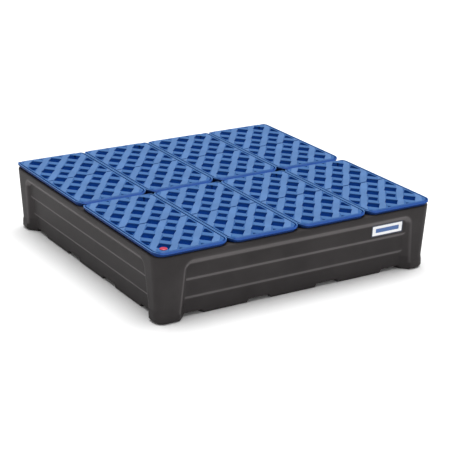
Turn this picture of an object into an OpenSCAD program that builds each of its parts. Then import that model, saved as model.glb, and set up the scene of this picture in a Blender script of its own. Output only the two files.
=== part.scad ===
// Spill containment pallet: a drafted black tub that catches leaks, a deck of blue lift-out
// grates, loose support pillars under the grate joints, a blank label and a level indicator
// whose float lifts a red cap through the corner slit of one grate. Millimetres, +Z up.

/* [Overall] */
// Outer width along X at the rim
pallet_w = 1240; // [800:10:1600]
// Outer depth along Y at the rim
pallet_d = 1240; // [800:10:1600]
// Height of the walking surface of the grates above the floor
deck_h = 285; // [180:5:400]

/* [Sump] */
// Height of the tub's rim above the floor
sump_h = 267; // [160:1:380]
// How far each side leans in between rim and floor
side_draft = 18; // [6:1:40]
// Radius of the upright corners at the rim
corner_r = 50; // [30:1:90]
// Width of the flat rim the grates rest on
rim_w = 34; // [24:1:45]
// Corner radius of the opening at the rim
mouth_r = 25; // [20:1:45]
// Width of the rim at the corner posts, where the hollow reaches further out
rim_post_w = 20; // [14:1:34]
// Thickness of the rim over the hollow corner posts
rim_t = 10; // [6:1:16]
// Thickness of the moulded skin
skin = 6; // [4:0.5:10]

/* [Side panels] */
// Half width of a recessed side panel at its top
panel_half_top = 518; // [300:2:700]
// Half width of a recessed side panel at the floor
panel_half_low = 536; // [300:2:720]
// Height of the panel's upper border
panel_top = 236; // [150:2:340]
// Radius of the panel's upper corners
panel_r = 32; // [10:1:60]
// Depth of the upper strip below the corner posts
strip_depth = 14; // [4:1:30]
// How much deeper each lower strip is set
strip_step = 7; // [2:0.5:10]
// Height of the step between upper and middle strip
step_a = 156; // [100:2:240]
// Height of the step between middle and lower strip
step_b = 79; // [40:2:160]
// Height of the sloped ledge under the panel's upper border
ledge_h = 12; // [4:1:30]
// Height of each sloped step
slope_h = 10; // [2:1:20]

/* [Underside channels] */
// Height of the channels pressed up into the underside
channel_h = 14; // [6:1:30]
// Width of a pad between two channels
pad_w = 200; // [120:5:300]
// Pitch of the pads
pad_pitch = 310; // [200:5:400]
// Slope of the channel flanks, run per channel
channel_slope = 7; // [2:1:14]
// Distance from the middle to the inner edge of a corner foot
foot_in = 508; // [400:2:600]
// Height of the thicker corner feet
foot_h = 44; // [20:2:80]
// How far a corner foot stands out from its post
foot_out = 3; // [0:0.5:6]
// Bevel around the bottom of a corner foot
foot_bevel = 10; // [4:1:16]

/* [Grates] */
// Length of one grate along Y
grate_l = 619; // [400:1:800]
// Width of one grate along X
grate_w = 309; // [200:1:400]
// Space from one grate to the next
grate_gap = 1; // [0.6:0.2:4]
// Corner radius of a grate
grate_r = 45; // [20:1:60]
// Thickness of the perforated deck of a grate
plate_t = 5; // [3:0.5:8]
// Full height of a grate
grate_h = 40; // [25:1:60]
// Height of the edge that shows above the rim
edge_h = 17.5; // [8:0.5:24]
// Height of the lip around the edge
lip_h = 8; // [4:0.5:12]
// How far the lip stands out over the foot ring under it
lip_out = 8; // [3:0.5:14]
// Distance of the inner skirt from the grate's edge
skirt_in = 37; // [20:1:45]
// Corner radius of the inner skirt
skirt_r = 18; // [8:1:40]
// Thickness of skirt and hole collars
web_t = 3; // [2:0.5:5]
// Pitch of the large holes along X
hole_px = 88; // [60:1:120]
// Pitch of the large holes along Y
hole_py = 121.5; // [80:0.5:160]
// Half width of a large diamond hole
big_hx = 30; // [15:1:40]
// Half length of a large diamond hole
big_hy = 34; // [15:1:50]
// Half width of a small diamond hole
small_hx = 23; // [10:1:30]
// Half length of a small diamond hole
small_hy = 26; // [10:1:40]
// Half width of the perforated field
field_hx = 137; // [100:1:150]
// Half length of the perforated field
field_hy = 294; // [200:1:300]
// Width of the slit that runs into the corner
slit_w = 7; // [4:0.5:12]
// How far the slit runs on past the level indicator
slit_past = 14; // [6:1:20]

/* [Support pillars] */
// Pitch of the pillars in both directions
pillar_pitch = 310; // [200:1:400]
// Radius of a pillar's foot
pillar_foot_r = 60; // [40:1:80]
// Radius of a pillar just below its head
pillar_neck_r = 30; // [20:1:50]
// Radius of a pillar's head
pillar_head_r = 21; // [14:0.5:23]

/* [Level indicator] */
// Distance of the indicator from the grate's middle along X
ind_x = 107; // [60:1:130]
// Distance of the indicator from the grate's middle along Y
ind_y = 269; // [200:1:290]
// Radius of the red cap
cap_r = 17; // [12:0.5:26]
// Height of the red cap over the deck
cap_h = 4; // [3:0.5:12]
// Radius of the rod
rod_r = 2.5; // [1.5:0.1:3.2]
// Radius of the float
float_r = 15; // [10:0.5:18]
// Length of the float
float_l = 46; // [20:1:90]

/* [Label] */
// Width of the blank label
label_w = 150; // [80:5:300]
// Height of the blank label
label_h = 48; // [30:1:70]
// Distance of the label's middle from the pallet's middle
label_x = 414; // [0:5:420]
// Height of the label's middle along the drafted side
label_z = 194; // [170:1:220]

/* [Hidden] */
$fn = 64;
clear = 0.3;
draft_a = atan(side_draft / sump_h);
pitch_x = grate_w + grate_gap;
pitch_y = grate_l + grate_gap;
cap_seat = deck_h + 0.4;
well_z = skin;
black = [0.16, 0.155, 0.155];
blue = [0.33, 0.52, 0.75];
red = [0.70, 0.12, 0.16];
steel = [0.70, 0.71, 0.72];
float_grey = [0.85, 0.84, 0.80];
label_c = [0.86, 0.87, 0.88];

// A block whose four sides lean in towards the floor. hw, hd and r are half width, half
// depth and corner radius at height ztop; lean is the inset per unit of height.
module draft_block(hw, hd, r, z0, z1, lean, ztop)
{
    i0 = (ztop - z0) * lean;
    i1 = (ztop - z1) * lean;
    translate([0, hd - r, 0]) rotate([90, 0, 0]) linear_extrude(2 * (hd - r))
        polygon([[-hw + i0, z0], [hw - i0, z0], [hw - i1, z1], [-hw + i1, z1]]);
    translate([-(hw - r), 0, 0]) rotate([90, 0, 90]) linear_extrude(2 * (hw - r))
        polygon([[-hd + i0, z0], [hd - i0, z0], [hd - i1, z1], [-hd + i1, z1]]);
    for (sx = [-1, 1], sy = [-1, 1])
        translate([sx * (hw - r), sy * (hd - r), z0])
            cylinder(h = z1 - z0, r1 = r - i0, r2 = r - i1);
}

// Outline of a recessed side panel cut off at height top: a trapezoid with rounded upper
// corners that is open towards the floor.
module panel_shape()
{
    k = (panel_half_low - panel_half_top) / panel_top;
    n = sqrt(1 + k * k);
    zc = panel_top - panel_r;
    xc = panel_half_low - k * zc - panel_r * n;
    tx = xc + panel_r / n;
    tz = zc + panel_r * k / n;
    polygon([[-panel_half_low - 20 * k, -20], [panel_half_low + 20 * k, -20],
             [tx, tz], [xc, panel_top], [-xc, panel_top], [-tx, tz]]);
    for (s = [-1, 1]) translate([s * xc, zc]) circle(r = panel_r);
}

// Upright section through a panel: a sloped ledge, then three strips with sloped steps.
// The first figure of each point is the depth below the corner posts.
module panel_profile()
{
    depth_b = strip_depth + strip_step;
    depth_c = strip_depth + 2 * strip_step;
    polygon([[-20, -20], [depth_c, -20],
             [depth_c, step_b - slope_h / 2], [depth_b, step_b + slope_h / 2],
             [depth_b, step_a - slope_h / 2], [strip_depth, step_a + slope_h / 2],
             [strip_depth, panel_top - ledge_h], [0, panel_top], [-20, panel_top]]);
}

// The three strips of one side panel, cut into the drafted front face.
module panel_cut(half)
{
    deep = strip_depth + 2 * strip_step + 10;
    translate([0, -(half - side_draft), 0]) rotate([90 + draft_a, 0, 0])
        intersection() {
            translate([0, 0, -deep]) linear_extrude(deep + 20) panel_shape();
            translate([-panel_half_low - 20, 0, 0]) rotate([0, 90, 0])
                linear_extrude(2 * panel_half_low + 40) panel_profile();
        }
}

// One channel under the floor from side to side, as wide as from a to b at the bottom.
module channel_shape(a, b, grow)
{
    polygon([[a - grow, -grow - 1], [b + grow, -grow - 1], [b + grow, 0],
             [b - channel_slope + grow, channel_h + grow],
             [a + channel_slope - grow, channel_h + grow], [a - grow, 0]]);
}

module channels(len, grow)
{
    for (s = [0, 1]) mirror([s, 0, 0])
        translate([0, len / 2, 0]) rotate([90, 0, 0]) linear_extrude(len) {
            channel_shape(pad_w / 2, pad_pitch - pad_w / 2, grow);
            channel_shape(pad_pitch + pad_w / 2, foot_in, grow);
        }
}

module all_channels(len, grow)
{
    channels(len, grow);
    rotate([0, 0, 90]) channels(len, grow);
}

// The tub: drafted block with four stepped side panels, corner feet and channels below;
// its hollow reaches into the corner posts under the rim.
module sump()
{
    hw = pallet_w / 2;
    hd = pallet_d / 2;
    lean = side_draft / sump_h;
    foot_i = (sump_h - foot_h) * lean;
    post_in = panel_half_low + skin;
    color(black)
    difference() {
        union() {
            difference() {
                draft_block(hw, hd, corner_r, 0, sump_h, lean, sump_h);
                panel_cut(hd);
                rotate([0, 0, 180]) panel_cut(hd);
                rotate([0, 0, 90]) panel_cut(hw);
                rotate([0, 0, -90]) panel_cut(hw);
                for (sx = [-1, 1], sy = [-1, 1])
                    translate([sx * (hw - 20), sy * (hd - 20), foot_h / 2 - 5])
                        cube([2 * (hw - panel_half_low) - 40, 2 * (hd - panel_half_low) - 40,
                              foot_h + 10], center = true);
            }
            intersection() {
                union() {
                    draft_block(hw - foot_i + foot_out, hd - foot_i + foot_out,
                                corner_r - foot_i + foot_out,
                                foot_bevel, foot_h, 0, foot_h);
                    draft_block(hw - foot_i + foot_out, hd - foot_i + foot_out,
                                corner_r - foot_i + foot_out,
                                0, foot_bevel, 0.7, foot_bevel);
                }
                for (sx = [-1, 1], sy = [-1, 1])
                    translate([sx * hw, sy * hd, foot_h / 2])
                        cube([2 * (hw - panel_half_low), 2 * (hd - panel_half_low),
                              foot_h], center = true);
            }
        }
        all_channels(pallet_w + 40, 0);
        difference() {
            union() {
                draft_block(hw - rim_w, hd - rim_w, mouth_r,
                            well_z, sump_h + 1, lean, sump_h);
                intersection() {
                    union() {
                        draft_block(hw - skin, hd - skin, corner_r - skin,
                                    well_z, sump_h - rim_t, lean, sump_h);
                        draft_block(hw - rim_post_w, hd - rim_post_w, corner_r - rim_post_w,
                                    sump_h - rim_t - 1, sump_h + 1, 0, sump_h);
                    }
                    for (sx = [-1, 1], sy = [-1, 1])
                        translate([sx * (post_in + 100), sy * (post_in + 100), sump_h / 2 + 5])
                            cube([200, 200, sump_h + 10], center = true);
                }
            }
            all_channels(pallet_w, skin);
        }
    }
}

module diamond(hx, hy)
{
    polygon([[-hx, 0], [0, -hy], [hx, 0], [0, hy]]);
}

// All the diamond holes of one grate, grown by g on each side for the collars.
module hole_field(g)
{
    intersection() {
        square([2 * (field_hx + g), 2 * (field_hy - 12 + g)], center = true);
        union() {
            for (i = [-1 : 1], j = [-2 : 2])
                translate([i * hole_px, j * hole_py]) diamond(big_hx + 1.4 * g, big_hy + 1.4 * g);
            for (i = [-1.5 : 1 : 1.5], j = [-1.5 : 1 : 1.5])
                translate([i * hole_px, j * hole_py])
                    diamond(small_hx + 1.4 * g, small_hy + 1.4 * g);
        }
    }
}

// The slit from a corner hole towards the grate's corner; the indicator rod runs in it.
module slit()
{
    hole_x = -hole_px;
    hole_y = -2 * hole_py;
    run = norm([ind_x + hole_x, ind_y + hole_y]) + slit_past;
    translate([hole_x, hole_y])
        rotate([0, 0, atan2(-ind_y - hole_y, -ind_x - hole_x)])
            translate([0, -slit_w / 2]) square([run, slit_w]);
}

module slits()
{
    slit();
    rotate([0, 0, 180]) slit();
}

module round_rect(w, l, r)
{
    square([w - 2 * r, l], center = true);
    square([w, l - 2 * r], center = true);
    for (sx = [-1, 1], sy = [-1, 1])
        translate([sx * (w / 2 - r), sy * (l / 2 - r)]) circle(r = r);
}

// A thin upright wall that follows the grate's outline, set in from its edge.
module edge_ring(inset, r)
{
    difference() {
        round_rect(grate_w - 2 * inset, grate_l - 2 * inset, r);
        round_rect(grate_w - 2 * inset - 2 * web_t, grate_l - 2 * inset - 2 * web_t,
                   r - web_t);
    }
}

// One grate about its own middle, walking surface at z = 0.
module grate()
{
    skirt_w = grate_w - 2 * skirt_in;
    skirt_l = grate_l - 2 * skirt_in;
    translate([0, 0, -plate_t]) linear_extrude(plate_t) difference() {
        round_rect(grate_w, grate_l, grate_r);
        hole_field(0);
        slits();
    }
    translate([0, 0, -lip_h]) linear_extrude(lip_h - plate_t + 1) edge_ring(0, grate_r);
    translate([0, 0, -edge_h]) linear_extrude(edge_h - plate_t + 1)
        edge_ring(lip_out, grate_r - lip_out);
    translate([0, 0, -grate_h]) linear_extrude(grate_h - plate_t + 1) difference() {
        union() {
            edge_ring(skirt_in, skirt_r);
            intersection() {
                round_rect(skirt_w, skirt_l, skirt_r);
                union() {
                    hole_field(web_t);
                    for (j = [-2 : 2]) translate([0, j * hole_py])
                        square([skirt_w, web_t], center = true);
                    for (i = [-1 : 1]) translate([i * hole_px, 0])
                        square([web_t, skirt_l], center = true);
                }
            }
        }
        hole_field(0);
        slits();
    }
}

module grate_at(n)
{
    col = (n - 1) % 4;
    row = floor((n - 1) / 4);
    color(blue)
    translate([(col - 1.5) * pitch_x, (row - 0.5) * pitch_y, deck_h]) grate();
}

// A loose pillar: a tapered foot and a narrow head that fits between two grate skirts.
module pillar_at(n)
{
    col = (n - 1) % 3;
    row = floor((n - 1) / 3);
    neck_z = deck_h - grate_h - 12;
    head_z = deck_h - edge_h - clear - 0.2;
    color(black)
    translate([(col - 1) * pillar_pitch, (row - 1) * pillar_pitch, 0])
    difference() {
        union() {
            translate([0, 0, well_z + clear]) cylinder(h = 10, r = pillar_foot_r + 12);
            translate([0, 0, well_z + clear])
                cylinder(h = neck_z - well_z - clear, r1 = pillar_foot_r, r2 = pillar_neck_r);
            translate([0, 0, neck_z]) cylinder(h = head_z - neck_z, r = pillar_head_r);
        }
        translate([0, 0, well_z])
            cylinder(h = neck_z - well_z - 6, r1 = pillar_foot_r - 5, r2 = pillar_neck_r - 5);
    }
}

// A blank plate stuck on the upper strip of the front panel.
module label()
{
    color(label_c)
    translate([0, -(pallet_d / 2 - side_draft), 0]) rotate([90 + draft_a, 0, 0])
        translate([label_x, label_z, -strip_depth + clear + 0.5])
            cube([label_w, label_h, 1], center = true);
}

module at_indicator()
{
    translate([-1.5 * pitch_x - ind_x, -0.5 * pitch_y - ind_y, 0]) children();
}

module indicator_cap()
{
    color(red)
    at_indicator() difference() {
        union() {
            translate([0, 0, cap_seat]) cylinder(h = cap_h - 1.4, r = cap_r);
            translate([0, 0, cap_seat + cap_h - 1.4])
                cylinder(h = 1.4, r1 = cap_r, r2 = cap_r - 2);
        }
        rotate([0, 0, 45])
            translate([0, 0, cap_seat + cap_h]) cube([2 * cap_r + 2, 4, 3], center = true);
    }
}

module indicator_rod()
{
    color(steel)
    at_indicator()
        translate([0, 0, well_z + 10 + float_l])
            cylinder(h = cap_seat - well_z - 10 - float_l, r = rod_r);
}

module indicator_float()
{
    color(float_grey)
    at_indicator() {
        translate([0, 0, well_z + 10]) cylinder(h = 6, r1 = float_r - 6, r2 = float_r);
        translate([0, 0, well_z + 16]) cylinder(h = float_l - 12, r = float_r);
        translate([0, 0, well_z + 4 + float_l]) cylinder(h = 6, r1 = float_r, r2 = float_r - 6);
    }
}

sump();
for (n = [1 : 8])
    grate_at(n);
for (n = [1 : 9])
    pillar_at(n);
label();
indicator_cap();
indicator_rod();
indicator_float();
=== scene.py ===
"""Spill containment pallet: a black moulded tub, blue lift-out grates on loose pillars, a level
indicator and a blank label, dressed for a plain studio view. Metres, +Z up, front towards -Y."""
import math
import bmesh
import bpy
from mathutils import Matrix, Vector
from mathutils.geometry import tessellate_polygon


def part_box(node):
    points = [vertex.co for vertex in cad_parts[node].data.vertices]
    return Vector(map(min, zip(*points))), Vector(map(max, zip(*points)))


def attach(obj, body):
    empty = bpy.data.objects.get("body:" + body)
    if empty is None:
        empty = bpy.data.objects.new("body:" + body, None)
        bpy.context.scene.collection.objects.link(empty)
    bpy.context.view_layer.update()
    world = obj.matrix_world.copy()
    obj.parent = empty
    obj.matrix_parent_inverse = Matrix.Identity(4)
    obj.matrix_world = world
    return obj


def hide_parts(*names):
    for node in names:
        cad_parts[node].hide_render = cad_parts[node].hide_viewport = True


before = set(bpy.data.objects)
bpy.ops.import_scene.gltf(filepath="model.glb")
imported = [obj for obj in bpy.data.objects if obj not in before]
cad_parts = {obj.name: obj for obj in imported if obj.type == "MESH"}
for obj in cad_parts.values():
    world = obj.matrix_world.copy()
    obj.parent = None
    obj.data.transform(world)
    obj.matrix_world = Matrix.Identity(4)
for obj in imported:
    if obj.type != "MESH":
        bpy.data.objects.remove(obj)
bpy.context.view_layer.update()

# ---------------------------------------------------------------- camera
# A long lens looks down over the front left corner from about six metres away.
camera_azimuth = math.radians(-31.46)
camera_elevation = math.radians(20.12)
camera_roll = math.radians(0.96)
camera_distance = 5.963
aim = Vector((0, 0, 0.15))
aim_right = 0.0204
aim_up = -0.0568
lens_mm = 116.4
lens_shift = 0.0078

back = Vector((math.sin(camera_azimuth) * math.cos(camera_elevation),
               -math.cos(camera_azimuth) * math.cos(camera_elevation),
               math.sin(camera_elevation)))
right = Vector((0, 0, 1)).cross(back).normalized()
up = back.cross(right)
camera_right = math.cos(camera_roll) * right + math.sin(camera_roll) * up
camera_up = math.cos(camera_roll) * up - math.sin(camera_roll) * right
camera_data = bpy.data.cameras.new("camera")
camera_data.sensor_width = 36
camera_data.lens = lens_mm
camera_data.shift_x = lens_shift
camera = bpy.data.objects.new("camera", camera_data)
camera_place = aim + back * camera_distance + camera_right * aim_right + camera_up * aim_up
camera.matrix_world = (Matrix.Translation(camera_place)
                       @ Matrix((camera_right, camera_up, back)).transposed().to_4x4())
bpy.context.scene.collection.objects.link(camera)
bpy.context.scene.camera = camera

# ---------------------------------------------------------------- tub
# The tub is one rotational moulding in black polyethylene. Its sides lean in, each has a
# sunk panel in three stepped strips between the corner posts, and channels cross underneath.
# The post at the front left corner is the widest on its front side.
tub_low, tub_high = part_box("sump")
tub_half = tub_high.x
rim_z = tub_high.z
draft = 0.018 / rim_z
corner_r = 0.050
corner_at = tub_half - corner_r
rim_width = 0.034
rim_post_w = 0.020
rim_post_from = 0.55
rim_thick = 0.010
skin_t = 0.006
rim_round = 0.007
panel_top = 0.236
panel_wide_top = 0.518
panel_wide_low = 0.536
panel_r = 0.034
panel_flank = 0.019
flank_depth = 0.0165
strip_deep = (0.014, 0.021, 0.028)
step_heights = (0.156, 0.079)
step_slope = 0.011
near_post_extra = 0.021
near_fade = 0.16
# Strength and width of the painted highlight along the panel edges, on the left and right halves
# of a side.
painted_highlight_left = 0.75
painted_highlight_right = 0.40
painted_highlight_width = 0.0050
channel_h = 0.014
channel_flank = 0.007
notch_blend = 0.034
channel_spans = ((0.100, 0.210), (0.410, 0.508))
foot_top = 0.044
foot_out = 0.003
foot_bevel = 0.011
floor_t = 0.006


def soft_ramp(t, ease=0.16):
    """0 below t = 0 and 1 above t = 1, straight between, with both bends rounded."""
    def bend(s):
        if s <= -ease:
            return 0.0
        if s >= ease:
            return s
        return (s + ease) ** 2 / (4 * ease)
    return bend(t) - bend(t - 1)


def panel_half_width(z):
    """Half the width of a sunk panel at a height: its ends slant outwards going down."""
    return panel_wide_low + (panel_wide_top - panel_wide_low) * z / panel_top


def inside_panel(x, z):
    """How far a point of a side lies inside the outline of the sunk panel."""
    tilt = math.hypot(1, (panel_wide_low - panel_wide_top) / panel_top)
    from_side = (panel_half_width(z) - abs(x)) / tilt
    from_top = panel_top - z
    if from_side < panel_r and from_top < panel_r:
        return panel_r - math.hypot(panel_r - from_side, panel_r - from_top)
    return min(from_side, from_top)


def strip_depth(z):
    """How deep the panel is sunk at a height, through its three strips and two steps."""
    deep = strip_deep[0]
    for below, height in enumerate(step_heights):
        t = (height + step_slope / 2 - z) / step_slope
        deep += (strip_deep[below + 1] - strip_deep[below]) * soft_ramp(t)
    return deep


def post_inset(z):
    """Lean of the corner posts, with the thicker foot that stands out at the bottom."""
    lean = draft * (rim_z - z)
    foot = draft * (rim_z - foot_top) - foot_out
    into_foot = soft_ramp((foot_top + 0.004 - z) / 0.012, 0.3)
    bevel = 0.75 * max(0.0, foot_bevel - z)
    return lean + (foot - lean) * into_foot + bevel


def side_inset(x, z):
    """Depth of the outer skin behind the tub's square outline, at a point of a side."""
    lean = draft * (rim_z - z)
    inside = inside_panel(x, z)
    sunk = lean + strip_depth(z) * soft_ramp(inside / (panel_flank * strip_depth(z) / flank_depth))
    mix = min(1.0, max(0.0, 0.5 + inside / 0.006))
    return post_inset(z) * (1 - mix) + sunk * mix if z < foot_top + 0.01 else sunk


def channel_rise(x, y, grow=0.0):
    """Height of the underside over the floor at a point: the channels run both ways."""
    rise = 0.0
    for along in (abs(x), abs(y)):
        for start, stop in channel_spans:
            t = min(along - start + grow, stop + grow - along) / channel_flank
            rise = max(rise, channel_h * soft_ramp(t, 0.1))
    return rise


# Upright mesh lines of one side: corner arcs, lines that follow the panel's slanted ends,
# and fixed lines on the pads. An arc line holds its angle and the others hold x.
arc_steps = 6
end_lines = [0.0075 - 0.0030 * k for k in range(20)]
pad_lines = [0.0, 0.050, 0.100, 0.107, 0.130, 0.180, 0.203, 0.210, 0.260, 0.310, 0.360,
             0.403, 0.410, 0.417, 0.440]
right_half = [("fixed", x) for x in pad_lines]
right_half += [("end", d) for d in reversed(end_lines)]
right_half += [("fixed", 0.556)]
right_half += [("arc", math.radians(45 * k / arc_steps)) for k in range(arc_steps + 1)]
side_lines = [(kind, -v, -1) for kind, v in reversed(right_half[1:])]
side_lines += [(kind, v, 1) for kind, v in right_half]


def line_point(line, z, inset):
    """A point of the front side on one mesh line. inset is a depth or a rule (x, z) -> depth."""
    kind, value, sign = line
    if kind == "arc":
        depth = inset(corner_at, z) if callable(inset) else inset
        r = corner_r - depth
        return Vector((sign * corner_at + r * math.sin(value),
                       -(corner_at + r * math.cos(value)), z))
    x = value if kind == "fixed" else sign * panel_half_width(z) + value
    depth = inset(x, z) if callable(inset) else inset
    return Vector((x, -(tub_half - depth), z))


def painted_highlight_at(x, z):
    """How much painted highlight a point of a side gets: on the downward slopes and along the
    panel edges, more on the left half of each side.
    """
    reach = 0.003
    slope = (side_inset(x, z - reach) - side_inset(x, z + reach)) / (2 * reach) - draft
    strength = painted_highlight_left if x < 0 else painted_highlight_right
    edge = strength * math.exp(-(inside_panel(x, z) / painted_highlight_width) ** 2)
    return min(1.0, max(0.0, slope / 0.5) + edge) if z > foot_top + 0.01 else edge


def post_growth(x):
    """How far a point of the front moves right to widen the front left post."""
    outside = (x + corner_at) / (corner_at - panel_wide_low)
    inside = (x + near_fade) / (near_fade - panel_wide_low)
    return near_post_extra * max(0.0, min(outside, inside, 1.0))


def level_ring(bm, height, inset, highlight_slot=None):
    """One closed loop of points round the tub. height is a value or a rule for a mesh line."""
    ring = []
    for quarter in range(4):
        turn = Matrix.Rotation(math.radians(90 * quarter), 3, "Z")
        for line in side_lines[:-1]:
            z = height(line) if callable(height) else height
            point = line_point(line, z, inset)
            highlight_here = painted_highlight_at(point.x, z)
            if quarter == 0:
                point.x += post_growth(point.x)
            vert = bm.verts.new(turn @ point)
            if highlight_slot is not None:
                vert[highlight_slot] = 0.0 if line[0] == "arc" else highlight_here
            ring.append(vert)
    return ring


def square_ring(bm, reach, rule):
    """A square loop of half size reach, where the lines of the corners are drawn together."""
    ring = []
    last = pad_lines[-1]
    outer = len(right_half) - len(pad_lines)
    xs = pad_lines + [last + (reach - last) * (k + 1) / outer for k in range(outer)]
    xs = [-x for x in reversed(xs[1:])] + xs
    for quarter in range(4):
        turn = Matrix.Rotation(math.radians(90 * quarter), 3, "Z")
        for x in xs[:-1]:
            p = turn @ Vector((x, -reach, 0))
            p.z = rule(p.x, p.y)
            ring.append(bm.verts.new(p))
    return ring, xs


def bridge(bm, lower, upper):
    """A band of faces between two closed loops with the same number of points."""
    count = len(lower)
    for k in range(count):
        n = (k + 1) % count
        bm.faces.new((lower[k], lower[n], upper[n], upper[k]))


def fill_square(bm, ring, xs, rule, flip):
    """A grid inside a square loop, on the same lines both ways."""
    n = len(xs)
    side = n - 1
    grid = {}
    for k in range(side):
        grid[(k, 0)] = ring[k]
        grid[(side, k)] = ring[side + k]
        grid[(side - k, side)] = ring[2 * side + k]
        grid[(0, side - k)] = ring[3 * side + k]
    for i in range(1, side):
        for j in range(1, side):
            grid[(i, j)] = bm.verts.new((xs[i], xs[j], rule(xs[i], xs[j])))
    for i in range(side):
        for j in range(side):
            quad = [grid[(i, j)], grid[(i + 1, j)], grid[(i + 1, j + 1)], grid[(i, j + 1)]]
            bm.faces.new(reversed(quad) if flip else quad)


def notch_height(line):
    """Height of the side's lower edge on a mesh line, where the channels come out."""
    kind, value, sign = line
    if kind == "arc":
        return 0.0
    x = value if kind == "fixed" else sign * panel_half_width(0) + value
    return channel_rise(x, 0)


def outer_row(z_flat):
    """Rule for the lowest rows, which follow the notches of the channels."""
    def height(line):
        rise = notch_height(line)
        return rise + (notch_blend - rise) * z_flat / notch_blend
    return height


def steps(start, stop, pitch):
    """Even heights from start up to just before stop, about a pitch apart."""
    count = max(1, round((stop - start) / pitch))
    return [start + (stop - start) * k / count for k in range(count)]


tub_bm = bmesh.new()
# Each point of the tub carries its amount of painted highlight.
highlight_layer = tub_bm.verts.layers.float.new("painted_highlight")


def floor_rule(x, y):
    """Height of the sump's floor, which rises over the channels."""
    return floor_t + channel_rise(x, y, grow=skin_t)


rings = []
under_square, grid_xs = square_ring(tub_bm, 0.500, channel_rise)
rings.append(under_square)
for reach in (0.502, 0.509, 0.540):
    rings.append(square_ring(tub_bm, reach, channel_rise)[0])


def rounded_bottom(extra):
    """Rule for the rows that round the lower edge, a little inside the outer skin."""
    return lambda x, z: side_inset(x, z) + extra


rings.append(level_ring(tub_bm, outer_row(0.0), rounded_bottom(0.005)))
for z_flat, extra in ((0.0007, 0.0022), (0.0022, 0.0007), (0.0050, 0.0)):
    rings.append(level_ring(tub_bm, outer_row(z_flat), rounded_bottom(extra)))
for z_flat in (0.0080, 0.0115, 0.0160, 0.0220, 0.0280):
    rings.append(level_ring(tub_bm, outer_row(z_flat), side_inset))
row_heights = steps(notch_blend, 0.054, 0.003) + steps(0.054, 0.070, 0.008)
row_heights += steps(0.070, 0.088, 0.0018) + steps(0.088, 0.147, 0.012)
row_heights += steps(0.147, 0.165, 0.0018) + steps(0.165, 0.194, 0.010)
row_heights += steps(0.194, 0.242, 0.0028) + steps(0.242, rim_z - rim_round, 0.010)
for z in row_heights:
    rings.append(level_ring(tub_bm, z, side_inset, highlight_layer))
for k in range(5):
    a = math.radians(90 * k / 4)
    rings.append(level_ring(tub_bm, rim_z - rim_round * (1 - math.sin(a)),
                            draft * rim_round + rim_round * (1 - math.cos(a))))


def mouth_inset(beyond):
    """Inner edge of the rim, which is narrower round the hollow corner posts."""
    return lambda x, z: (rim_post_w if abs(x) > rim_post_from else rim_width) + beyond


for beyond, drop in ((-0.012, 0.0), (-0.002, 0.0), (-0.0006, 0.0006), (0.0, 0.002),
                     (draft * rim_thick, rim_thick)):
    rings.append(level_ring(tub_bm, rim_z - drop, mouth_inset(beyond)))


def hollow_inset(x, z):
    """Inner skin: plain leaning walls that open out into the hollow corner posts."""
    lean = draft * (rim_z - z)
    if abs(x) > panel_wide_low + 0.004:
        return skin_t + lean
    return rim_width + lean


for z in [rim_z - rim_thick - 0.0005] + steps(rim_z - rim_thick - 0.004, 0.030, 0.028):
    rings.append(level_ring(tub_bm, z, hollow_inset))
for lift, extra in ((0.006, 0.0), (0.0018, 0.0018), (0.0, 0.006)):
    rings.append(level_ring(tub_bm, lambda line, lift=lift: floor_t + lift + notch_height(line),
                            lambda x, z, extra=extra: hollow_inset(x, z) + extra))
for reach in (0.540, 0.515, 0.502):
    rings.append(square_ring(tub_bm, reach, floor_rule)[0])
floor_square, grid_xs = square_ring(tub_bm, 0.500, floor_rule)
rings.append(floor_square)
for lower, upper in zip(rings, rings[1:]):
    bridge(tub_bm, lower, upper)
fill_square(tub_bm, under_square, grid_xs, channel_rise, flip=True)
fill_square(tub_bm, floor_square, grid_xs, floor_rule, flip=False)


def finish_mesh(bm, name, smooth_angle=40):
    """Turns a bmesh into a shaded object in the scene."""
    bmesh.ops.recalc_face_normals(bm, faces=bm.faces)
    mesh = bpy.data.meshes.new(name)
    bm.to_mesh(mesh)
    bm.free()
    mesh.shade_smooth()
    mesh.set_sharp_from_angle(angle=math.radians(smooth_angle))
    obj = bpy.data.objects.new(name, mesh)
    bpy.context.scene.collection.objects.link(obj)
    return obj


tub = finish_mesh(tub_bm, "tub", 50)


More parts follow.
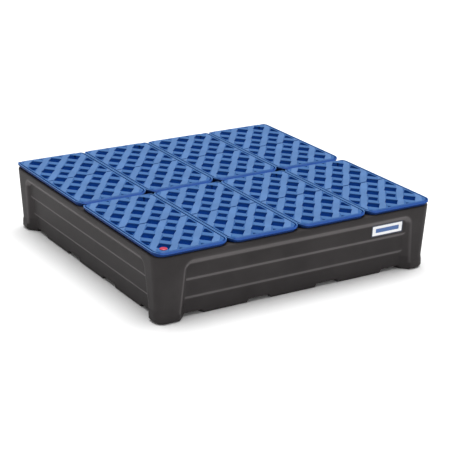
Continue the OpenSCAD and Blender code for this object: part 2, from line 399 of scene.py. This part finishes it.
def plastic(name, colour, roughness, grain, grain_size, mottle=0.12, specular=0.5):
    """Moulded plastic: a slightly uneven colour, a fine pebbled grain and faint scuffs."""
    material = bpy.data.materials.new(name)
    material.use_nodes = True
    nodes, links = material.node_tree.nodes, material.node_tree.links
    shader = nodes["Principled BSDF"]
    shader.inputs["Specular IOR Level"].default_value = specular
    place = nodes.new("ShaderNodeTexCoord")
    cloud = nodes.new("ShaderNodeTexNoise")
    cloud.inputs["Scale"].default_value = 9
    cloud.inputs["Detail"].default_value = 6
    links.new(place.outputs["Object"], cloud.inputs["Vector"])
    shade = nodes.new("ShaderNodeValToRGB")
    shade.color_ramp.elements[0].position = 0.3
    shade.color_ramp.elements[1].position = 0.7
    shade.color_ramp.elements[0].color = [c * (1 - mottle) for c in colour] + [1]
    shade.color_ramp.elements[1].color = [min(1, c * (1 + mottle)) for c in colour] + [1]
    links.new(cloud.outputs["Fac"], shade.inputs["Fac"])
    links.new(shade.outputs["Color"], shader.inputs["Base Color"])
    gloss = nodes.new("ShaderNodeMapRange")
    gloss.inputs["To Min"].default_value = roughness - 0.06
    gloss.inputs["To Max"].default_value = roughness + 0.08
    links.new(cloud.outputs["Fac"], gloss.inputs["Value"])
    links.new(gloss.outputs["Result"], shader.inputs["Roughness"])
    pebbles = nodes.new("ShaderNodeTexNoise")
    pebbles.inputs["Scale"].default_value = 1 / grain_size
    pebbles.inputs["Detail"].default_value = 2
    links.new(place.outputs["Object"], pebbles.inputs["Vector"])
    bump = nodes.new("ShaderNodeBump")
    bump.inputs["Strength"].default_value = grain
    bump.inputs["Distance"].default_value = 0.0006
    links.new(pebbles.outputs["Fac"], bump.inputs["Height"])
    links.new(bump.outputs["Normal"], shader.inputs["Normal"])
    return material


black_skin = plastic("black_polyethylene", (0.0415, 0.0380, 0.0385), 0.42, 0.30, 0.004,
                     specular=0.05)
# The slopes and edges of the panels get a painted highlight, a paler black where light would catch
# them.
nodes, links = black_skin.node_tree.nodes, black_skin.node_tree.links
painted_highlight = nodes.new("ShaderNodeAttribute")
painted_highlight.attribute_name = "painted_highlight"
# Adds the paler black of the painted highlight to the plastic's colour.
highlight_mix = nodes.new("ShaderNodeVectorMath")
highlight_mix.operation = "MULTIPLY_ADD"
highlight_mix.inputs[1].default_value = (0.079, 0.074, 0.075)
links.new(painted_highlight.outputs["Color"], highlight_mix.inputs[0])
links.new(nodes["Color Ramp"].outputs["Color"], highlight_mix.inputs[2])
links.new(highlight_mix.outputs["Vector"], nodes["Principled BSDF"].inputs["Base Color"])
tub.data.materials.append(black_skin)
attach(tub, "tub")
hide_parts("sump")

# ---------------------------------------------------------------- pillars
# Loose moulded posts stand in the wells of the tub's floor, where the grates meet. Each is
# a cone on a round foot flange, with four ribs on the flange and a narrow head that carries the
# edges.
pillar_black = plastic("pillar_black", (0.030, 0.029, 0.029), 0.55, 0.25, 0.005)


def lathe(bm, centre, outline, segments=48):
    """Turns an outline of (radius, z) points round an upright axis."""
    loops = []
    for r, z in outline:
        loop = []
        for k in range(segments):
            a = 2 * math.pi * k / segments
            loop.append(bm.verts.new((centre.x + r * math.cos(a), centre.y + r * math.sin(a), z)))
        loops.append(loop)
    for lower, upper in zip(loops, loops[1:]):
        bridge(bm, lower, upper)
    bm.faces.new(reversed(loops[0]))
    bm.faces.new(loops[-1])


def slab(bm, low, high, turn=None, about=None):
    """A plain box between two corners, turned about an upright axis if asked."""
    made = bmesh.ops.create_cube(bm, size=1)["verts"]
    size = high - low
    middle = (low + high) / 2
    for v in made:
        v.co = Vector((v.co.x * size.x, v.co.y * size.y, v.co.z * size.z)) + middle
    if turn is not None:
        bmesh.ops.rotate(bm, verts=made, cent=about, matrix=Matrix.Rotation(turn, 3, "Z"))


neck_z = 0.233
head_r = 0.021
flange_t = 0.010
rib_half = 0.0015
for number in range(1, 10):
    name = f"pillar_{number}"
    low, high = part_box(name)
    middle = (low + high) / 2
    foot_r = (high.x - low.x) / 2
    bm = bmesh.new()
    outline = [(foot_r - 0.001, low.z), (foot_r, low.z + 0.001), (foot_r, low.z + 0.008),
               (foot_r - 0.002, low.z + flange_t), (0.0590, low.z + flange_t),
               (0.0575, low.z + 0.013), (0.0305, neck_z - 0.002), (0.0290, neck_z),
               (head_r, neck_z), (head_r - 0.0005, high.z - 0.002), (head_r - 0.002, high.z)]
    lathe(bm, middle, outline)
    for k in range(4):
        slab(bm, Vector((middle.x + 0.030, middle.y - rib_half, low.z + 0.009)),
             Vector((middle.x + foot_r - 0.004, middle.y + rib_half, low.z + 0.034)),
             math.radians(45 + 90 * k), middle)
    pillar = finish_mesh(bm, name + "_post")
    pillar.data.materials.append(pillar_black)
    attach(pillar, "tub")
    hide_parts(name)

# ---------------------------------------------------------------- grates
# The deck is eight like injection mouldings in blue polyethylene, laid loose on the rim and
# the pillars. Wide raised bands run up to the right between rows of diamond holes; a groove
# and a round bead follow the long edges, the short ends slope down, and two corners are slit.
grate_low, grate_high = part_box("grate_1")
grate_w = (grate_high.x - grate_low.x) / 2
grate_l = (grate_high.y - grate_low.y) / 2
deck_z = grate_high.z
grate_depth = grate_high.z - grate_low.z
grate_r = 0.045
hole_dx = 0.088
hole_dy = 0.1215
big_hole = (0.0312, 0.0353)
small_hole = (0.0245, 0.0275)
hole_round = 0.0035
small_hole_round = 0.003
field_w = 0.137
notch_end = 0.290
notch_half = 0.0085
notch_floor = -0.008
groove_half = 0.0034
groove_floor = -0.006
groove_clear = 0.0022
field_end_x = 0.1385
base_z = -0.0011
pad_z = -0.0004
plate_t = 0.009
wall_t = 0.003
skirt_in = 0.037
skirt_r = 0.018
web_half = 0.0015
web_room = 0.002
web_raise = 0.006
root = 0.0005
slit_w = 0.0065
slit_tip = Vector((-0.1155, -0.2801))


def rounded_rect(half_x, half_y, r, corner_steps=10):
    """Outline of a rectangle with round corners, counter-clockwise about its middle."""
    points = []
    for quarter in range(4):
        sx = 1 if quarter in (0, 3) else -1
        sy = 1 if quarter in (0, 1) else -1
        for k in range(corner_steps + 1):
            a = math.radians(90 * quarter + 90 * k / corner_steps)
            points.append(Vector((sx * (half_x - r) + r * math.cos(a),
                                  sy * (half_y - r) + r * math.sin(a))))
    return points


def rounded_corners(points, r, corner_steps=3):
    """Rounds each corner of a counter-clockwise polygon with a small arc."""
    out = []
    count = len(points)
    for k, p in enumerate(points):
        before = (points[k - 1] - p).normalized()
        after = (points[(k + 1) % count] - p).normalized()
        half = before.angle(after) / 2
        reach = min(r / math.tan(half), 0.45 * (points[k - 1] - p).length,
                    0.45 * (points[(k + 1) % count] - p).length)
        start, stop = p + before * reach, p + after * reach
        for s in range(corner_steps + 1):
            t = s / corner_steps
            out.append((1 - t) ** 2 * start + 2 * t * (1 - t) * p + t ** 2 * stop)
    return out


def grown(points, by):
    """Moves every edge of a counter-clockwise polygon outwards by a distance."""
    out = []
    count = len(points)
    for k, p in enumerate(points):
        e1 = (p - points[k - 1]).normalized()
        e2 = (points[(k + 1) % count] - p).normalized()
        n1, n2 = Vector((e1.y, -e1.x)), Vector((e2.y, -e2.x))
        mid = n1 + n2
        out.append(p + mid * (by / max(0.35, mid.dot(n1))))
    return out


def hole_outlines():
    """Corners, corner radius and depth of every hole; a depth of None goes right through."""
    found = []
    for i in (-1, 0, 1):
        for j in (-2, -1, 0, 1, 2):
            hx, hy = big_hole
            c = Vector((i * hole_dx, j * hole_dy))
            corners = [c + Vector(v) for v in ((-hx, 0), (0, -hy), (hx, 0), (0, hy))]
            if (i, j) in ((-1, -2), (1, 2)):
                out = (slit_tip - Vector((-hole_dx, -2 * hole_dy))).normalized()
                across = Vector((-out.y, out.x)) * slit_w / 2
                edge = Vector((hx, -hy)).normalized()
                left = Vector((-hole_dx - hx, -2 * hole_dy))
                cuts = []
                for side in (-across, across):
                    base = slit_tip + side
                    t = ((left - base).x * edge.y - (left - base).y * edge.x)
                    t /= out.x * edge.y - out.y * edge.x
                    cuts.append(base + out * t)
                slot = [cuts[0], slit_tip - across, slit_tip + across, cuts[1]]
                if i == -1:
                    corners = [corners[0]] + slot + corners[1:]
                else:
                    corners = corners[:3] + [-p for p in slot] + corners[3:]
            found.append((corners, hole_round, None))
    for i in (-1.5, -0.5, 0.5, 1.5):
        for j in (-1.5, -0.5, 0.5, 1.5):
            hx, hy = small_hole
            c = Vector((i * hole_dx, j * hole_dy))
            corners = [c + Vector(v) for v in ((-hx, 0), (0, -hy), (hx, 0), (0, hy))]
            if abs(i) == 1.5:
                s = 1 if i > 0 else -1
                cut = (field_w - abs(c.x)) / hx
                rise = hy * (1 - cut)
                flat = [Vector((s * field_w, c.y - s * rise)),
                        Vector((s * field_w, c.y + s * rise))]
                if s > 0:
                    corners = [corners[0], corners[1], flat[0], flat[1], corners[3]]
                else:
                    corners = [corners[1], corners[2], corners[3], flat[0], flat[1]]
            found.append((corners, small_hole_round, None))
    for i in (-0.5, 0.5):
        for s in (-1, 1):
            peak = Vector((i * hole_dx, s * (2.5 * hole_dy - small_hole[1] + 0.004)))
            foot = s * notch_end
            found.append(([peak, Vector((peak.x - notch_half, foot)),
                           Vector((peak.x + notch_half, foot))], 0.0015, notch_floor))
    # A narrow groove crosses the middle of the grate from hole to hole.
    middle_holes = [-field_end_x] + [i * hole_dx for i in (-1, 0, 1)] + [field_end_x]
    for left, right in zip(middle_holes, middle_holes[1:]):
        start = left + (0 if left == -field_end_x else big_hole[0] + groove_clear)
        stop = right - (0 if right == field_end_x else big_hole[0] + groove_clear)
        found.append(([Vector((start, -groove_half)), Vector((stop, -groove_half)),
                       Vector((stop, groove_half)), Vector((start, groove_half))],
                      0.0003, groove_floor))
    return found


def turned_left(points):
    """The same polygon, counter-clockwise."""
    area = sum(a.cross(b) for a, b in zip(points, points[1:] + points[:1]))
    return points if area > 0 else list(reversed(points))


def cap(bm, outer, inner):
    """Flat face with holes between existing loops of vertices, split into triangles."""
    loops = [outer] + inner
    flat = [[v.co.to_2d().to_3d() for v in loop] for loop in loops]
    verts = [v for loop in loops for v in loop]
    for tri in tessellate_polygon(flat):
        a, b, c = (verts[k] for k in tri)
        try:
            bm.faces.new((a, b, c))
        except ValueError:
            pass


def loop_at(bm, points, z):
    """Lays a flat outline out as vertices at one height."""
    return [bm.verts.new((p.x, p.y, z)) for p in points]


def edge_section(end):
    """Section of the edge as (distance in from the outline, z), from the field outwards.
    end is 0 along the sides with groove and bead, and 1 along the sloping ends."""
    side = [(0.0100, base_z), (0.0097, -0.0022), (0.0092, -0.0072), (0.0052, -0.0074),
            (0.0044, -0.0016), (0.0040, -0.0004), (0.0033, 0.0), (0.0014, 0.0),
            (0.0005, -0.0005), (0.0, -0.0018)]
    slope = [(0.0155, base_z), (0.0150, -0.0013), (0.0125, -0.0022), (0.0105, -0.0030),
             (0.0085, -0.0038), (0.0065, -0.0045), (0.0046, -0.0050), (0.0028, -0.0054),
             (0.0010, -0.0058), (0.0, -0.0066)]
    section = [((1 - end) * a[0] + end * b[0], (1 - end) * a[1] + end * b[1])
               for a, b in zip(side, slope)]
    lip = [(0.0, -0.0076), (0.0005, -0.0080), (0.0080, -0.0080), (0.0080, -0.0172),
           (0.0083, -0.0175), (0.0110, -0.0175), (0.0112, -plate_t)]
    return section + lip


def end_share(p):
    """0 beside the long sides and 1 beside the short ends, changing over round the corner."""
    corner = grate_l - grate_r
    if abs(p.y) <= corner:
        return 0.0
    a = math.atan2(abs(p.y) - corner, max(1e-6, abs(p.x) - (grate_w - grate_r)))
    if abs(p.x) < grate_w - grate_r:
        return 1.0
    t = min(1.0, max(0.0, (math.degrees(a) - 30) / 40))
    return t * t * (3 - 2 * t)


grate_bm = bmesh.new()
# From this row on, the outer lip's faces take a darker navy blue, which is painted shade.
lip_row = 9  # from this row of the section on, the edge is the darker outer lip
body_blue, band_blue, shaded_lip_blue = 0, 1, 2  # the three blues, in the order of the materials
outline = rounded_rect(grate_w, grate_l, grate_r, 12)
normals = []
for k, p in enumerate(outline):
    corner = Vector((math.copysign(grate_w - grate_r, p.x),
                     math.copysign(grate_l - grate_r, p.y)))
    normals.append((p - corner).normalized())
sections = [edge_section(end_share(p)) for p in outline]
edge_loops = []
for row in range(len(sections[0])):
    edge_loops.append([
        grate_bm.verts.new((p.x - n.x * s[row][0], p.y - n.y * s[row][0], s[row][1]))
        for p, n, s in zip(outline, normals, sections)])
for row in range(len(edge_loops) - 1):
    made = len(grate_bm.faces)
    bridge(grate_bm, edge_loops[row], edge_loops[row + 1])
    if row >= lip_row:
        grate_bm.faces.ensure_lookup_table()
        for face in grate_bm.faces[made:]:
            face.material_index = shaded_lip_blue

top_holes, under_holes = [], []
for corners, r, blind in hole_outlines():
    corners = turned_left(corners)
    bottom = blind or -grate_depth
    rows = [(0.0006, base_z), (0.0002, base_z - 0.0002), (0.0, base_z - 0.0008),
            (0.0 if blind else -0.0009, bottom)]
    loops = [loop_at(grate_bm, rounded_corners(grown(corners, g), r), z) for g, z in rows]
    if not blind:
        foot = [(wall_t - 0.0009, bottom), (wall_t, -plate_t)]
        loops += [loop_at(grate_bm, rounded_corners(grown(corners, g), r), z) for g, z in foot]
    for lower, upper in zip(loops, loops[1:]):
        bridge(grate_bm, lower, upper)
    top_holes.append(loops[0])
    under_holes.append(loops[-1])
    if blind:
        grate_bm.faces.new(loops[-1])
        under_holes.pop()
cap(grate_bm, edge_loops[0], top_holes)
cap(grate_bm, edge_loops[-1], under_holes)

# Skirt and webs under the plate, rooted a little way into it.
skirt_loops = []
for inset, z in ((skirt_in, -plate_t + root), (skirt_in, -grate_depth),
                 (skirt_in + wall_t, -grate_depth), (skirt_in + wall_t, -plate_t + root)):
    r = skirt_r - (inset - skirt_in)
    skirt_loops.append(loop_at(grate_bm, rounded_rect(grate_w - inset, grate_l - inset, r, 6), z))
for lower, upper in zip(skirt_loops, skirt_loops[1:]):
    bridge(grate_bm, lower, upper)
bridge(grate_bm, skirt_loops[-1], skirt_loops[0])
for j in range(-2, 3):
    for i in (-0.5, 0.5):
        gap = hole_dx / 2 - big_hole[0] - web_room
        slab(grate_bm,
             Vector((i * hole_dx - gap, j * hole_dy - web_half, -grate_depth + web_raise)),
             Vector((i * hole_dx + gap, j * hole_dy + web_half, -plate_t + root)))
for i in range(-1, 2):
    for j in (-1.5, -0.5, 0.5, 1.5):
        gap = hole_dy / 2 - big_hole[1] - web_room
        slab(grate_bm,
             Vector((i * hole_dx - web_half, j * hole_dy - gap, -grate_depth + web_raise)),
             Vector((i * hole_dx + web_half, j * hole_dy + gap, -plate_t + root)))

# Raised bands: straight strips between the hole rows, bent round the large holes' corners
# and cut off at the field's edge and at the middle line.
row_dir = Vector((hole_dx / 2, hole_dy / 2)).normalized()
row_out = Vector((row_dir.y, -row_dir.x))
band_start = 0.0222
hole_room = 0.0012


def band_edge(row, s):
    """Points along one side of a hole row: s is 1 on its lower right, -1 on its upper left."""
    points = []
    base = Vector((row * hole_dx, 0))
    for k in range(-9, 10):
        centre = base + Vector((k * hole_dx, k * hole_dy))
        tip = centre + Vector((s * (big_hole[0] + hole_room), 0))
        far = centre + Vector((0, -s * (big_hole[1] + hole_room)))
        near = centre + Vector((0, s * (big_hole[1] + hole_room)))
        for end in ((far, near) if s > 0 else (near, far)):
            d_tip, d_end = s * (tip - base).dot(row_out), s * (end - base).dot(row_out)
            t = (band_start - d_end) / (d_tip - d_end)
            cut = end + (tip - end) * t
            points.append((cut, tip))
    ordered = []
    for first, second in zip(points[::2], points[1::2]):
        ordered += [first[0], first[1], second[0]]
    ordered.sort(key=lambda p: p.dot(row_dir))
    return ordered


def clipped(points, point, inward):
    """Keeps the part of a polygon on one side of a line."""
    out = []
    for a, b in zip(points, points[1:] + points[:1]):
        da, db = (a - point).dot(inward), (b - point).dot(inward)
        if da >= 0:
            out.append(a)
        if (da > 0) != (db > 0) and abs(da - db) > 1e-12:
            out.append(a + (b - a) * (da / (da - db)))
    return out


def clean(points):
    """Drops points that lie almost on their neighbours."""
    out = []
    for p in points:
        if not out or (p - out[-1]).length > 0.0006:
            out.append(p)
    while len(out) > 2 and (out[0] - out[-1]).length < 0.0006:
        out.pop()
    return out


def raised(bm, points, z, material_index):
    """A low plateau with a bevelled edge standing on the grate's plate."""
    points = turned_left(clean(points))
    if len(points) < 3:
        return
    area = sum(a.cross(b) for a, b in zip(points, points[1:] + points[:1])) / 2
    if area < 0.00006:
        return
    height = z - base_z
    loops = [loop_at(bm, points, base_z - 0.0002),
             loop_at(bm, points, z - height * 0.45),
             loop_at(bm, grown(points, -0.45 * height), z)]
    made = len(bm.faces)
    for lower, upper in zip(loops, loops[1:]):
        bridge(bm, lower, upper)
    cap(bm, loops[-1], [])
    bm.faces.ensure_lookup_table()
    for face in bm.faces[made:]:
        face.material_index = material_index


field_edge_x = grate_w - 0.0108
field_edge_y = grate_l - 0.0172
middle_gap = 0.0042


def field_clip(points):
    """Keeps the part of a polygon inside the field, within the edge and the round corners."""
    points = clipped(points, Vector((field_edge_x, 0)), Vector((-1, 0)))
    points = clipped(points, Vector((-field_edge_x, 0)), Vector((1, 0)))
    points = clipped(points, Vector((0, field_edge_y)), Vector((0, -1)))
    points = clipped(points, Vector((0, -field_edge_y)), Vector((0, 1)))
    for sx in (-1, 1):
        for sy in (-1, 1):
            for degrees, room in ((25, 0.0120), (45, 0.0140), (65, 0.0160)):
                a = math.radians(degrees)
                n = Vector((sx * math.cos(a), sy * math.sin(a)))
                centre = Vector((sx * (grate_w - grate_r), sy * (grate_l - grate_r)))
                points = clipped(points, centre + n * (grate_r - room), -n)
    return points


for row in range(-7, 8):
    near_edge = band_edge(row, 1)
    far_edge = band_edge(row + 1, -1)
    strip = near_edge + list(reversed(far_edge))
    for s in (-1, 1):
        half = field_clip(clipped(strip, Vector((0, s * middle_gap)), Vector((0, s))))
        if half:
            raised(grate_bm, half, 0.0, band_blue)

# Smooth pads between each large hole and the small ones above right and below left of it.
for i in range(-3, 4):
    for j in range(-3, 4):
        big = Vector((i * hole_dx, j * hole_dy))
        for s in (-1, 1):
            small = big + s * Vector((hole_dx / 2, hole_dy / 2))
            m = 0.0014
            quad = [big + s * Vector((big_hole[0] + 0.0004, 0.0024)),
                    small + s * Vector((-0.001, -small_hole[1] - m)),
                    small + s * Vector((-small_hole[0] - m, 0.0)),
                    big + s * Vector((m, big_hole[1] + m * 0.6))]
            pad = field_clip(quad)
            if len(pad) >= 3:
                raised(grate_bm, pad, pad_z, body_blue)

grate_first = finish_mesh(grate_bm, "grate_moulding", 32)
grate_mesh = grate_first.data
bpy.data.objects.remove(grate_first)
blue_skin = plastic("blue_polyethylene", (0.040, 0.122, 0.315), 0.40, 0.12, 0.0030, 0.07,
                    specular=0.15)
band_skin = plastic("blue_ribbed_band", (0.088, 0.186, 0.400), 0.50, 0.35, 0.0022, 0.10,
                    specular=0.15)
# The lip's dark navy is painted shade: the outer edge and the undercut below it, shaded under the
# deck's edge.
lip_painted_shade = plastic("blue_lip_painted_shade", (0.006, 0.032, 0.150), 0.50, 0.12, 0.0030, 0.07,
                   specular=0.10)
# Painted light and shade by height in the moulding: a painted highlight on the tops of the beads
# and edges, and painted shade that darkens the blue down the holes, the grooves and the edge.
painted_light_by_depth = ((0.0, (2.90, 2.10, 1.70)), (0.0005, (1.00, 1.00, 1.00)),
                (0.0013, (0.80, 0.90, 1.00)), (0.0020, (0.50, 0.65, 0.85)),
                (0.0040, (0.11, 0.42, 0.76)), (0.0100, (0.18, 0.62, 1.20)),
                (0.0220, (0.30, 1.00, 1.95)))
shade_room = 3  # a ramp holds 0 to 1, so shades are stored at a third and scaled back
nodes, links = blue_skin.node_tree.nodes, blue_skin.node_tree.links
height = nodes.new("ShaderNodeSeparateXYZ")
links.new(nodes["Texture Coordinate"].outputs["Object"], height.inputs["Vector"])
depth = nodes.new("ShaderNodeMapRange")
depth.inputs["From Min"].default_value = 0
depth.inputs["From Max"].default_value = -painted_light_by_depth[-1][0]
links.new(height.outputs["Z"], depth.inputs["Value"])
painted_shade_ramp = nodes.new("ShaderNodeValToRGB")
while len(painted_shade_ramp.color_ramp.elements) < len(painted_light_by_depth):
    painted_shade_ramp.color_ramp.elements.new(0.5)
for element, (deep, shade) in zip(painted_shade_ramp.color_ramp.elements, painted_light_by_depth):
    element.position = deep / painted_light_by_depth[-1][0]
    element.color = [c / shade_room for c in shade] + [1]
links.new(depth.outputs["Result"], painted_shade_ramp.inputs["Fac"])
painted_shade_mix = nodes.new("ShaderNodeVectorMath")
painted_shade_mix.operation = "MULTIPLY"
links.new(nodes["Color Ramp"].outputs["Color"], painted_shade_mix.inputs[0])
links.new(painted_shade_ramp.outputs["Color"], painted_shade_mix.inputs[1])
brighten = nodes.new("ShaderNodeVectorMath")
brighten.operation = "SCALE"
brighten.inputs["Scale"].default_value = shade_room
links.new(painted_shade_mix.outputs["Vector"], brighten.inputs[0])
links.new(brighten.outputs["Vector"], nodes["Principled BSDF"].inputs["Base Color"])
grate_mesh.materials.append(blue_skin)
grate_mesh.materials.append(band_skin)
grate_mesh.materials.append(lip_painted_shade)
for number in range(1, 9):
    name = f"grate_{number}"
    low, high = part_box(name)
    grate = bpy.data.objects.new(f"{name}_moulding", grate_mesh)
    grate.location = ((low.x + high.x) / 2, (low.y + high.y) / 2, deck_z)
    bpy.context.scene.collection.objects.link(grate)
    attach(grate, name)
    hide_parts(name)

# ---------------------------------------------------------------- level indicator
# A low red cap sits on the corner of the front left grate. A steel rod hangs from it through
# the slit, with a foam float at its lower end that lifts the cap when liquid gathers.
cap_low, cap_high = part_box("indicator_cap")
cap_middle = (cap_low + cap_high) / 2
cap_trim = 0.0025
cap_r = (cap_high.x - cap_low.x) / 2 - cap_trim
cap_middle.x += cap_trim
red_gloss = plastic("indicator_red", (0.55, 0.05, 0.095), 0.25, 0.05, 0.003, 0.05)
bm = bmesh.new()
cap_rise = cap_high.z - cap_low.z
dome = [(cap_r - 0.0006, cap_low.z), (cap_r, cap_low.z + 0.0006), (cap_r, cap_low.z + 0.0012)]
dome += [(cap_r * math.cos(math.radians(a)), cap_low.z + 0.0012
          + (cap_rise - 0.0012) * math.sin(math.radians(a))) for a in range(15, 90, 15)]
dome += [(0.0015, cap_high.z)]
lathe(bm, cap_middle, dome, 40)
red_cap = finish_mesh(bm, "indicator_cap_dome", 60)
red_cap.data.materials.append(red_gloss)
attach(red_cap, "indicator")
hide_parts("indicator_cap")

rod_low, rod_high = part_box("indicator_rod")
rod_middle = (rod_low + rod_high) / 2
rod_r = (rod_high.x - rod_low.x) / 2
steel = bpy.data.materials.new("rod_steel")
steel.use_nodes = True
steel_shader = steel.node_tree.nodes["Principled BSDF"]
steel_shader.inputs["Metallic"].default_value = 1
steel_shader.inputs["Base Color"].default_value = (0.55, 0.56, 0.57, 1)
brushed = steel.node_tree.nodes.new("ShaderNodeTexNoise")
brushed.inputs["Scale"].default_value = 400
spread = steel.node_tree.nodes.new("ShaderNodeMapRange")
spread.inputs["To Min"].default_value = 0.25
spread.inputs["To Max"].default_value = 0.42
steel.node_tree.links.new(brushed.outputs["Fac"], spread.inputs["Value"])
steel.node_tree.links.new(spread.outputs["Result"], steel_shader.inputs["Roughness"])
bm = bmesh.new()
lathe(bm, rod_middle, [(rod_r - 0.0004, rod_low.z), (rod_r, rod_low.z + 0.0004),
                       (rod_r, rod_high.z - 0.0004), (rod_r - 0.0004, rod_high.z)], 24)
rod = finish_mesh(bm, "indicator_rod_bar")
rod.data.materials.append(steel)
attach(rod, "indicator")
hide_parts("indicator_rod")

float_low, float_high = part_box("indicator_float")
float_middle = (float_low + float_high) / 2
float_r = (float_high.x - float_low.x) / 2
foam = plastic("float_foam", (0.66, 0.65, 0.60), 0.75, 0.5, 0.0016, 0.05)
bm = bmesh.new()
float_round = 0.006
ends = [(float_r - float_round + float_round * math.sin(math.radians(a)),
         float_low.z + float_round * (1 - math.cos(math.radians(a))))
        for a in range(0, 91, 15)]
ends += [(r, float_high.z - (z - float_low.z)) for r, z in reversed(ends)]
lathe(bm, float_middle, ends, 36)
foam_float = finish_mesh(bm, "indicator_float_body", 60)
foam_float.data.materials.append(foam)
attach(foam_float, "indicator")
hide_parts("indicator_float")

# ---------------------------------------------------------------- label
# A blank printed film is stuck on the upper strip of the front panel at its right end: a
# white sheet with rounded corners inside a dark rim of painted shadow, and a plain bar in place of
# print.
label_low, label_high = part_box("label")
label_middle = (label_low + label_high) / 2
label_tilt = math.atan(draft)
label_w = (label_high.x - label_low.x) / 2
label_h = (label_high.z - label_low.z) / 2 / math.cos(label_tilt) - 0.0002
shadow_rim_w = 0.0042
film_t = 0.0002


def film(name, half_x, half_y, r, centre, lift, colour, roughness):
    """A thin rounded sheet lying on the label's leaning face."""
    bm = bmesh.new()
    points = [p + centre for p in rounded_rect(half_x, half_y, r, 5)]
    lower, upper = loop_at(bm, points, lift - film_t), loop_at(bm, points, lift)
    bridge(bm, lower, upper)
    bm.faces.new(upper)
    bm.faces.new(reversed(lower))
    sheet = finish_mesh(bm, name)
    sheet.matrix_world = (Matrix.Translation(label_middle)
                          @ Matrix.Rotation(math.radians(90) + label_tilt, 4, "X"))
    sheet.data.materials.append(plastic(name, colour, roughness, 0.02, 0.01, 0.03))
    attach(sheet, "tub")
    return sheet


# The dark film round the white sheet is painted shadow.
shadow_rim = film("label_shadow_rim", label_w, label_h, 0.004, Vector((0, 0)), 0.0002,
              (0.03, 0.04, 0.08), 0.35)
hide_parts("label")
film("label_sheet", label_w - shadow_rim_w, label_h - shadow_rim_w, 0.003, Vector((0, 0)), 0.0003,
     (0.90, 0.91, 0.93), 0.30)
film("label_bar", label_w * 0.74, label_h * 0.36, 0.002, Vector((0, 0)), 0.0004,
     (0.045, 0.13, 0.36), 0.35)

# ---------------------------------------------------------------- floor and light
# A plain pale floor, a dim even surround, and three wide soft sources: overhead, from the
# right, and a weak one from the front.
bm = bmesh.new()
bmesh.ops.create_grid(bm, x_segments=1, y_segments=1, size=30)
studio_floor = finish_mesh(bm, "studio_floor")
studio_floor.location.z = tub_low.z
paper = bpy.data.materials.new("studio_paper")
paper.use_nodes = True
paper_shader = paper.node_tree.nodes["Principled BSDF"]
paper_shader.inputs["Base Color"].default_value = (0.96, 0.96, 0.96, 1)
paper_shader.inputs["Roughness"].default_value = 0.9
paper_shader.inputs["Specular IOR Level"].default_value = 0.1
studio_floor.data.materials.append(paper)

world = bpy.data.worlds.new("studio")
world.use_nodes = True
world.node_tree.nodes["Background"].inputs["Color"].default_value = (1, 1, 1, 1)
world.node_tree.nodes["Background"].inputs["Strength"].default_value = 0.20
bpy.context.scene.world = world


def soft_sky(name, toward, strength, spread):
    """A wide soft source that lights the whole floor evenly, like a ceiling of diffusers."""
    data = bpy.data.lights.new(name, "SUN")
    data.energy = strength
    data.angle = math.radians(spread)
    lamp = bpy.data.objects.new(name, data)
    lamp.rotation_mode = "QUATERNION"
    lamp.rotation_quaternion = Vector(toward).to_track_quat("Z", "Y")
    bpy.context.scene.collection.objects.link(lamp)


soft_sky("overhead", (0.05, 0.10, 1.0), 3.45, 60)
soft_sky("from_right", (1.0, 0.22, 0.25), 0.9, 40)
soft_sky("from_front", (-0.20, -0.90, 0.22), 0.75, 50)
bpy.context.scene.view_settings.view_transform = "Standard"
